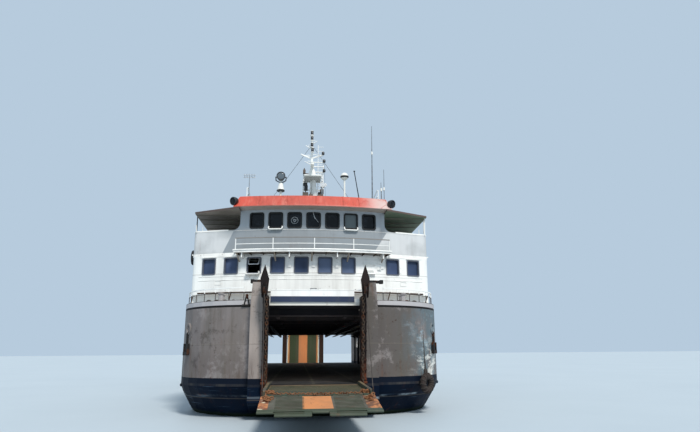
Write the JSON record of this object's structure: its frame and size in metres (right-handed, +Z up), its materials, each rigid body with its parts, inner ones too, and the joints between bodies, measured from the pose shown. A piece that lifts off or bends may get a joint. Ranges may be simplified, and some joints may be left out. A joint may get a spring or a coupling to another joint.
{
  "type": "passenger and vehicle ferry, half-size scale model",
  "caption": "Drive-through passenger and vehicle ferry afloat, half-size model, with hinged bow and stern ramps, screws, rudders, doors and a turning radar.",
  "frame": {"origin": "on the centreline amidships, at the waterline", "axes": "+Z up, -Y towards the bow, +X to port"},
  "size_m": [6.01, 24.94, 8.45],
  "materials": {
    "white_paint": "weathered white gloss",
    "grey_paint": "weathered grey, rust streaked",
    "bridge_grey": "satin light grey",
    "navy_paint": "satin navy",
    "deck_paint": "worn anti-slip deck paint",
    "ramp_green": "worn green over steel",
    "orange_paint": "faded orange red",
    "black_paint": "black with rust",
    "rust_brown": "brown primer, rusty",
    "galvanised": "dull galvanised",
    "screw_bronze": "polished bronze",
    "window_glass": "dark tinted",
    "raft_white": "moulded shell"
  },
  "bodies": {
    "hull": {"hull_lower": "navy_paint", "car_deck": "deck_paint", "shell_port": "grey_paint", "shell_starboard": "grey_paint", "bow_post_port": "black_paint", "bow_post_starboard": "black_paint", "bow_header": "grey_paint", "deck_beams": "black_paint", "casing_port": "white_paint", "casing_starboard": "white_paint", "passenger_deck": "white_paint", "sign_board": "navy_paint", "saloon_front": "white_paint", "saloon_front_glass": "window_glass", "saloon_side_port": "white_paint", "saloon_side_starboard": "white_paint", "saloon_glass_port": "window_glass", "saloon_glass_starboard": "window_glass", "saloon_aft": "white_paint", "bridge_deck": "white_paint", "ledge_rail": "white_paint", "bridge_front": "bridge_grey", "bridge_front_glass": "window_glass", "wheelhouse_side_port": "white_paint", "wheelhouse_side_starboard": "white_paint", "wheelhouse_back": "white_paint", "wheelhouse_roof": "orange_paint", "wing_canopy_port": "rust_brown", "wing_canopy_starboard": "rust_brown", "wing_bulwark_port": "white_paint", "wing_bulwark_starboard": "white_paint", "crew_house": "white_paint", "funnel_port": "orange_paint", "funnel_starboard": "orange_paint", "mast": "white_paint", "searchlight": "white_paint", "satellite_dome": "white_paint", "aerials": "galvanised", "bridge_rail_port": "white_paint", "bridge_rail_starboard": "white_paint", "aft_rail": "white_paint", "stern_portal": "rust_brown", "windlass": "galvanised", "anchor_port": "black_paint", "anchor_starboard": "black_paint", "liferaft_port": "raft_white", "liferaft_starboard": "raft_white"},
    "bow_ramp": {"bow_ramp": "ramp_green"},
    "bow_flap": {"bow_flap": "ramp_green"},
    "stern_ramp": {"stern_ramp": "ramp_green"},
    "radar_scanner": {"radar_scanner": "white_paint"},
    "screw_port": {"screw_port": "screw_bronze"},
    "screw_starboard": {"screw_starboard": "screw_bronze"},
    "rudder_port": {"rudder_port": "navy_paint"},
    "rudder_starboard": {"rudder_starboard": "navy_paint"},
    "wheelhouse_door_port": {"wheelhouse_door_port": "rust_brown"},
    "wheelhouse_door_starboard": {"wheelhouse_door_starboard": "rust_brown"},
    "saloon_door_port": {"saloon_door_port": "rust_brown"},
    "saloon_door_starboard": {"saloon_door_starboard": "rust_brown"},
    "crew_door": {"crew_door": "rust_brown"}
  },
  "joints": [
    {"name": "bow_ramp_hinge", "type": "hinge", "parent": "hull", "child": "bow_ramp", "pos_m": [0, -10.825, 0.64], "axis": [-1, 0, 0], "range_deg": [-8, 84]},
    {"name": "bow_flap_hinge", "type": "hinge", "parent": "bow_ramp", "child": "bow_flap", "pos_m": [0, -12.975, 0.595], "axis": [-1, 0, 0], "range_deg": [-12, 14]},
    {"name": "stern_ramp_hinge", "type": "hinge", "parent": "hull", "child": "stern_ramp", "pos_m": [0, 10.825, 0.64], "axis": [-1, 0, 0], "range_deg": [0, 98]},
    {"name": "radar_turn", "type": "hinge", "parent": "hull", "child": "radar_scanner", "pos_m": [-0.03, -8.425, 6.15], "axis": [0, 0, 1], "continuous": true},
    {"name": "screw_port_turn", "type": "hinge", "parent": "hull", "child": "screw_port", "pos_m": [1.35, 9.1, -0.615], "axis": [0, 1, 0], "continuous": true},
    {"name": "screw_starboard_turn", "type": "hinge", "parent": "hull", "child": "screw_starboard", "pos_m": [-1.35, 9.1, -0.615], "axis": [0, 1, 0], "continuous": true},
    {"name": "rudder_port_turn", "type": "hinge", "parent": "hull", "child": "rudder_port", "pos_m": [1.35, 9.75, -0.3], "axis": [0, 0, 1], "range_deg": [-35, 35]},
    {"name": "rudder_starboard_turn", "type": "hinge", "parent": "hull", "child": "rudder_starboard", "pos_m": [-1.35, 9.75, -0.3], "axis": [0, 0, 1], "range_deg": [-35, 35]},
    {"name": "wheelhouse_door_port_hinge", "type": "hinge", "parent": "hull", "child": "wheelhouse_door_port", "pos_m": [1.825, -8.0496, 4.2], "axis": [0, 0, -1], "range_deg": [0, 100]},
    {"name": "wheelhouse_door_starboard_hinge", "type": "hinge", "parent": "hull", "child": "wheelhouse_door_starboard", "pos_m": [-1.825, -8.0496, 4.2], "axis": [0, 0, 1], "range_deg": [0, 100]},
    {"name": "saloon_door_port_hinge", "type": "hinge", "parent": "hull", "child": "saloon_door_port", "pos_m": [1.7496, 4, 3], "axis": [0, 0, -1], "range_deg": [0, 110]},
    {"name": "saloon_door_starboard_hinge", "type": "hinge", "parent": "hull", "child": "saloon_door_starboard", "pos_m": [-1.7496, 4, 3], "axis": [0, 0, 1], "range_deg": [0, 110]},
    {"name": "crew_door_hinge", "type": "hinge", "parent": "hull", "child": "crew_door", "pos_m": [-1.2996, -1.25, 4.2], "axis": [0, 0, 1], "range_deg": [0, 110]}
  ]
}
